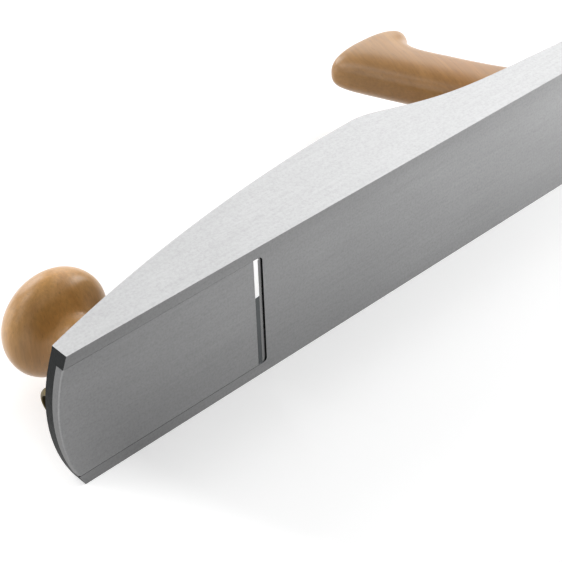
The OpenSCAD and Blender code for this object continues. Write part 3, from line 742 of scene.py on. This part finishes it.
def make_spindle():
    """The depth spindle: threaded on the carrier's side of its collar, plain through the post."""
    spindle = Spindle("adjuster_spindle", ALONG_BED)
    top = spindle.length / MM
    collar_r = spindle.radius / MM
    shaft_r = Spindle("adjuster_knob_screw", ALONG_BED).radius / MM - 0.6
    collar_t, collar_start = 2.0, 23.36
    profile = [(shaft_r - 0.5, 0)] + even_heights(shaft_r, 0.5, collar_start - 0.6, 0.1)
    profile += [(shaft_r - 0.4, collar_start - 0.5), (shaft_r - 0.4, collar_start)]
    profile += [(collar_r - 0.3, collar_start), (collar_r, collar_start + 0.3)]
    profile += [(collar_r, collar_start + collar_t - 0.3), (collar_r - 0.3, collar_start + collar_t)]
    profile += [(shaft_r, collar_start + collar_t), (shaft_r, top)]
    wave = thread_wave(shaft_r, 0.8, 0.3, 0.6, collar_start - 0.7)
    turned_piece(lathe(profile, 56, wave), "adjuster_spindle", "depth_spindle", "steel", spindle)


# Tote and its fittings

def long_axis(node):
    """The direction in which a node is longest, pointing up from the sole."""
    points = np.array([vertex.co for vertex in frame["nodes"][node].data.vertices])
    points = points - points.mean(axis=0)
    axis = np.linalg.svd(points, full_matrices=False)[2][0]
    return Vector(axis) if axis[1] > 0 else -Vector(axis)


TOTE_ROD = Spindle("tote_rod", long_axis("tote_rod"))


def follow(rows, count):
    """Rows on a smooth curve through the given rows, count for each stretch."""
    rows = np.array(rows, float)
    last = len(rows) - 1
    result = []
    for i in range(last):
        a, b = rows[max(i - 1, 0)], rows[i]
        c, d = rows[i + 1], rows[min(i + 2, last)]
        for k in range(count):
            t = k / count
            result.append(0.5 * (
                2 * b + (c - a) * t + (2 * a - 5 * b + 4 * c - d) * t * t + (3 * b - 3 * c + d - a) * t ** 3))
    result.append(rows[last])
    return result


def tote_form():
    """The grip as rounded sections up a leaning rod: share of the height, reach in front of the rod,
    reach behind it, share of the thickness and how square the section is."""
    tote_low, tote_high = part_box("tote")
    height = (tote_high.y - tote_low.y) / MM
    thick = (tote_high.z - tote_low.z) / MM
    foot_h, grip, spur = 6, 19, 34
    rows = follow([
        (0, 43.9, 39.1, 0.96, 5),
        (foot_h / height, 41.9, 40.5, 0.98, 5),
        ((foot_h + 2) / height, 39.3, 39.9, 0.98, 4.6),
        ((foot_h + 4) / height, 32.9, 38.1, 0.98, 4),
        ((foot_h + 7) / height, grip + 8.4, 34.6, 0.98, 3.4),
        (0.15, grip + 4.4, 29.4, 0.98, 3),
        (0.25, grip + 0.4, grip + 4.6, 0.98, 2.7),
        (0.41, grip - 0.3, grip + 0.1, 0.98, 2.5),
        (0.605, grip + 0.8, grip - 1.2, 1, 2.4),
        (0.757, grip + 1.5, grip - 1, 1, 2.4),
        (0.848, grip + 1.9, grip + 3.6, 1, 2.5),
        (0.905, grip + 2, spur - 3.4, 0.98, 2.6),
        (0.947, grip + 0.7, spur, 0.94, 2.6),
        (0.979, grip - 3.2, spur - 4.3, 0.8, 2.6),
        (1, grip - 10.6, spur - 13.4, 0.5, 2.6)], 5)
    slope = TOTE_ROD.along.x / TOTE_ROD.along.y
    foot = TOTE_ROD.centre + TOTE_ROD.along * TOTE_ROD.foot
    foot_x = (foot.x + (tote_low.y - foot.y) * slope) / MM
    middle_z = (tote_low.z + tote_high.z) / 2
    sides = 72
    rings = []
    for share, front, rear, wide, power in rows:
        up = share * height
        ring = []
        for k in range(sides):
            angle = 2 * math.pi * k / sides
            along = math.copysign(abs(math.cos(angle)) ** (2 / power), math.cos(angle))
            across = math.copysign(abs(math.sin(angle)) ** (2 / power), math.sin(angle))
            ring.append((
                (foot_x + up * slope + (rear - front) / 2 + along * (front + rear) / 2) * MM,
                tote_low.y + up * MM,
                middle_z + across * wide * thick / 2 * MM))
        rings.append(ring)
    return skin(rings)


def make_tote():
    nut = Spindle("tote_washer", TOTE_ROD.along)
    screw = Spindle("tote_front_screw", UPWARD)
    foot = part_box("tote")[0].y
    nut_well = rod_form(nut.radius / MM + 0.02, 0, 60, turn=nut.matrix())
    rod_well = rod_form(9.4, -6, 5.4, turn=Matrix.Translation(
        TOTE_ROD.centre + TOTE_ROD.along * (TOTE_ROD.foot + (foot - LOW.y) - 2.5 * MM))
        @ TOTE_ROD.matrix().to_3x3().to_4x4())
    screw_well = rod_form(screw.radius / MM + 0.4, 5, 18, 48, Matrix.Translation(
        screw.matrix().translation + Vector((0, foot - screw.matrix().translation.y, 0)))
        @ screw.matrix().to_3x3().to_4x4())
    form = cut(tote_form(), [nut_well, rod_well, screw_well])
    stand_for(mesh_from(form, "tote_grip", 40), "tote", "tote_grip", ["tote"])


def make_tote_nut():
    """The slotted brass nut: a plain barrel with a low crown and a turned line near its edge."""
    spindle = Spindle("tote_nut", TOTE_ROD.along)
    radius = spindle.radius / MM
    top = spindle.length / MM
    profile = [(radius - 0.4, 0), (radius, 0.4), (radius, top - 3.6), (radius - 0.25, top - 3.4)]
    profile += [(radius - 0.25, top - 3.1), (radius, top - 2.9)]
    profile += bezier((radius, top - 2.5), (radius, top - 0.8), (0.6 * radius, top), (0.05, top), 12)
    profile.append((0.05, top))
    slot = box_form((-2 * radius, 2 * radius), (-0.7, 0.7), (top - 2, top + 1))
    turned_piece(cut(lathe(profile, 72), [slot]), "tote_nut", "tote_barrel_nut", "brass", spindle)


def make_front_screw():
    spindle = Spindle("tote_front_screw", UPWARD)
    radius = spindle.radius / MM
    top = spindle.length / MM
    head_t, shank_r = 2.2, 2.0
    seat = top - head_t
    profile = [(shank_r - 0.6, 0)] + even_heights(shank_r, 0.6, seat - 1.2, 0.1)
    profile += [(shank_r - 0.3, seat - 1.1), (shank_r - 0.3, seat), (radius - 0.2, seat), (radius, seat + 0.2)]
    profile += bezier((radius, seat + 0.7), (radius, top - 0.5), (0.6 * radius, top), (0.05, top), 10)
    profile.append((0.05, top))
    wave = thread_wave(shank_r, 0.8, 0.25, 0.8, seat - 1.4)
    slot = box_form((-2 * radius, 2 * radius), (-0.5, 0.5), (top - 1, top + 1))
    turned_piece(cut(lathe(profile, 60, wave), [slot]), "tote_front_screw", "tote_slotted_screw", "brass", spindle)


# Blade, lever cap and the plain pieces

def make_blade():
    """The blade, with its bevel honed bright and its underside a darker grey, as painted shade."""
    bevel_normal = Vector((-math.sin(BED_TILT + 0.4363), math.cos(BED_TILT + 0.4363), 0))

    def pick(centre, normal):
        if normal.dot(bevel_normal) > 0.99:
            return 1
        return 2 if normal.dot(OFF_BED) < -0.99 else 0

    eased_copy("blade", "bevel_up_blade", 0.1 * MM, ["blade", "honed", "underside"], 1, pick)


def make_plain_pieces():
    eased_copy("lever_cap", "lever_cap_casting", 0.7 * MM, ["cap"], 3)
    eased_copy("toe_post", "toe_post_block", 0.3 * MM, ["steel"])
    eased_copy("lever_cap_rod", "lever_cap_cross_rod", 0.4 * MM, ["dark"])
    eased_copy("knob_washer", "knob_brass_washer", 0.15 * MM, ["washer"])
    eased_copy("knob_insert", "knob_threaded_insert", 0.3 * MM, ["brass"])
    eased_copy("stop_washer", "stop_screw_washer", 0.15 * MM, ["steel"])
    eased_copy("pressure_pad", "cap_pressure_pad", 0.15 * MM, ["dark"])
    eased_copy("adjuster_post", "adjuster_swivel_post", 0.4 * MM, ["dark"])
    eased_copy("pivot_bush", "adjuster_bush", 0.2 * MM, ["washer"])
    eased_copy("adjuster_knob_screw", "depth_knob_screw", 0.15 * MM, ["dark"])
    eased_copy("carrier", "blade_carrier", 0.4 * MM, ["dark"])
    eased_copy("carrier_pin", "blade_carrier_pin", 0.4 * MM, ["steel"])
    eased_copy("tote_rod", "tote_through_rod", 0.4 * MM, ["steel"])
    eased_copy("tote_washer", "tote_nut_washer", 0.15 * MM, ["steel"])


make_body()
make_toe_plate()
make_knob()
make_stop_screw()
make_cap_wheel()
make_cap_stud()
make_adjuster_knob()
make_spindle()
make_tote()
make_tote_nut()
make_front_screw()
make_blade()
make_plain_pieces()


# Floor, light and background

FLOOR_SIZE = 8.0
FLOOR_COLOUR = 0.80
FLOOR_LIFT = 0.35
WHITE_FROM = Vector((0.3, 0, 0))
GREY_REACH, WHITE_REACH, FADE_REACH = 0.46, 0.54, 0.8
WORLD_LEVEL = 0.17
AIM = Vector((0, 0, 0.03))


def seen_by_eye_or_mirror(tree):
    """1 for camera, glossy and transmission rays, 0 for the rays that light the object."""
    path = tree.nodes.new("ShaderNodeLightPath")
    seen = path.outputs["Is Camera Ray"]
    for ray in ("Is Glossy Ray", "Is Transmission Ray"):
        either = tree.nodes.new("ShaderNodeMath")
        either.operation = "MAXIMUM"
        tree.links.new(seen, either.inputs[0])
        tree.links.new(path.outputs[ray], either.inputs[1])
        seen = either.outputs["Value"]
    return seen


def floor_lift(shader):
    """The floor's own light: low round the object, so that its shadow shows, and full further out."""
    place = shader.node("ShaderNodeMapping", vector_type="POINT")
    place.inputs["Location"].default_value = -WHITE_FROM / FADE_REACH
    place.inputs["Scale"].default_value = (1 / FADE_REACH,) * 3
    shader.feed(shader.place, place.inputs["Vector"])
    nearness = shader.node("ShaderNodeTexGradient", gradient_type="SPHERICAL")
    shader.feed(place.outputs["Vector"], nearness.inputs["Vector"])
    white, grey = 1 - WHITE_REACH / FADE_REACH, 1 - GREY_REACH / FADE_REACH
    return shader.ramp(nearness.outputs["Fac"], (white, 1.0), (grey, FLOOR_LIFT))


def make_floor():
    mesh = bpy.data.meshes.new("floor")
    reach = FLOOR_SIZE / 2
    corners = [(-reach, -reach, 0), (reach, -reach, 0), (reach, reach, 0), (-reach, reach, 0)]
    mesh.from_pydata(corners, [], [(0, 1, 2, 3)])
    floor = bpy.data.objects.new("floor", mesh)
    bpy.context.scene.collection.objects.link(floor)
    shader = Shader("floor", Specular_IOR_Level=0.1)
    grain = shader.noise(180, 3)
    shader.colour(shader.ramp(grain, (0.3, FLOOR_COLOUR * 0.995), (0.7, FLOOR_COLOUR)))
    shader.roughness(shader.ramp(grain, (0.3, 0.78), (0.7, 0.85)))
    shader.feed(floor_lift(shader), shader.surface.inputs["Emission Color"])
    shader.feed(seen_by_eye_or_mirror(shader.tree), shader.surface.inputs["Emission Strength"])
    mesh.materials.append(shader.material)


def soft_lamp(name, azimuth, elevation, distance, size, power):
    """A square lamp round the object. Azimuth is from the heel's side towards the back, in degrees."""
    turn, rise = math.radians(azimuth), math.radians(elevation)
    outward = Vector((math.cos(rise) * math.cos(turn), math.cos(rise) * math.sin(turn), math.sin(rise)))
    data = bpy.data.lights.new(name, "AREA")
    data.size = size
    data.energy = power
    lamp = bpy.data.objects.new(name, data)
    bpy.context.scene.collection.objects.link(lamp)
    lamp.location = AIM + outward * distance
    lamp.rotation_euler = (-outward).to_track_quat("-Z", "Y").to_euler()


def make_world():
    world = bpy.data.worlds.new("studio")
    bpy.context.scene.world = world
    world.use_nodes = True
    tree = world.node_tree
    background = tree.nodes["Background"]
    background.inputs["Color"].default_value = (1, 1, 1, 1)
    pick = tree.nodes.new("ShaderNodeMix")
    pick.data_type = "FLOAT"
    pick.inputs[2].default_value = WORLD_LEVEL
    pick.inputs[3].default_value = 1.0
    tree.links.new(seen_by_eye_or_mirror(tree), pick.inputs[0])
    tree.links.new(pick.outputs[0], background.inputs["Strength"])


make_floor()
make_world()
soft_lamp("back", 90, 28, 1.7, 0.9, 9.2)
soft_lamp("back_right", 45, 28, 1.7, 0.9, 3.7)
soft_lamp("heel", 0, 45, 1.7, 1.5, 12)
soft_lamp("toe", 180, 28, 1.7, 0.9, 3.2)
soft_lamp("back_left", 140, 50, 1.7, 0.9, 6.6)
soft_lamp("back_left_low", 135, 8, 1.7, 0.9, 5.1)
soft_lamp("front_right", -22, 15, 1.2, 0.8, 10)
bpy.context.scene.view_settings.view_transform = "Standard"
